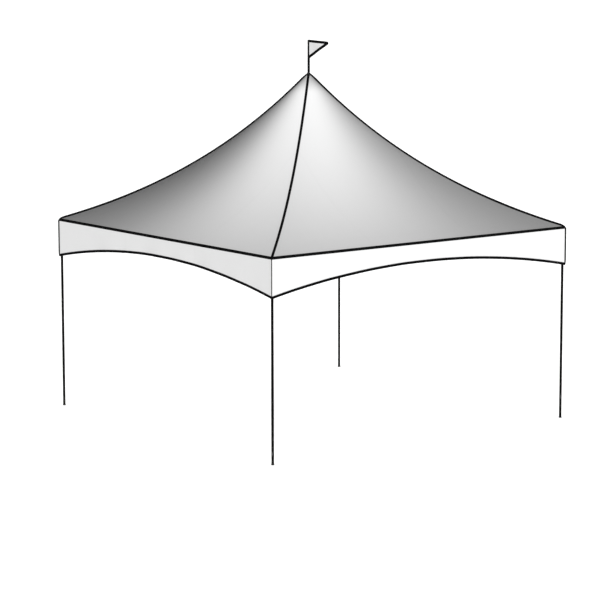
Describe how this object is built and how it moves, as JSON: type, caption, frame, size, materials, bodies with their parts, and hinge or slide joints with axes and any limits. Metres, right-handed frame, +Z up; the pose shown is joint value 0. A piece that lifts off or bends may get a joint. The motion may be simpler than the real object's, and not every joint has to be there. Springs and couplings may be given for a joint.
{
  "type": "marquee tent",
  "caption": "Square single-peak marquee on a free-standing frame, with a sweeping pyramid canopy, arched valances, slim legs, a mast on crossed cables and a pennant.",
  "frame": {"origin": "centre of the square plan, on the ground under the peak", "axes": "+Z up, -Y the front, the side that lies to the right in the picture, -X the left side"},
  "size_m": [4.579, 4.579, 4.752],
  "materials": {
    "canopy_pvc": "satin coated fabric",
    "black_webbing": "woven, matte",
    "black_steel": "powder coated",
    "galvanised_steel": "galvanised",
    "black_plastic": "moulded",
    "foot_rubber": "moulded",
    "pennant_cloth": "woven, matte"
  },
  "bodies": {
    "tent": {"foot_front_left": "foot_rubber", "foot_front_right": "foot_rubber", "foot_back_right": "foot_rubber", "foot_back_left": "foot_rubber", "leg_front_left": "black_steel", "leg_front_right": "black_steel", "leg_back_right": "black_steel", "leg_back_left": "black_steel", "corner_block_front_left": "black_steel", "corner_block_front_right": "black_steel", "corner_block_back_right": "black_steel", "corner_block_back_left": "black_steel", "eave_beam_front": "black_steel", "eave_beam_right": "black_steel", "eave_beam_back": "black_steel", "eave_beam_left": "black_steel", "turnbuckle_front_left": "galvanised_steel", "turnbuckle_front_right": "galvanised_steel", "turnbuckle_back_right": "galvanised_steel", "turnbuckle_back_left": "galvanised_steel", "cable_front_left": "galvanised_steel", "cable_front_right": "galvanised_steel", "cable_back_right": "galvanised_steel", "cable_back_left": "galvanised_steel", "roof_panel_front": "canopy_pvc", "roof_panel_right": "canopy_pvc", "roof_panel_back": "canopy_pvc", "roof_panel_left": "canopy_pvc", "hip_webbing_front_left": "black_webbing", "hip_webbing_front_right": "black_webbing", "hip_webbing_back_right": "black_webbing", "hip_webbing_back_left": "black_webbing", "valance_front": "canopy_pvc", "valance_right": "canopy_pvc", "valance_back": "canopy_pvc", "valance_left": "canopy_pvc", "mast_foot": "black_steel", "mast": "black_steel", "mast_head": "black_steel", "peak_cap": "black_plastic", "flag_staff": "black_steel"},
    "pennant": {"pennant": "pennant_cloth"}
  },
  "joints": [
    {"name": "pennant_swing", "type": "hinge", "parent": "tent", "child": "pennant", "pos_m": [0, 0, 4.64], "axis": [0, 0, 1], "continuous": true}
  ]
}
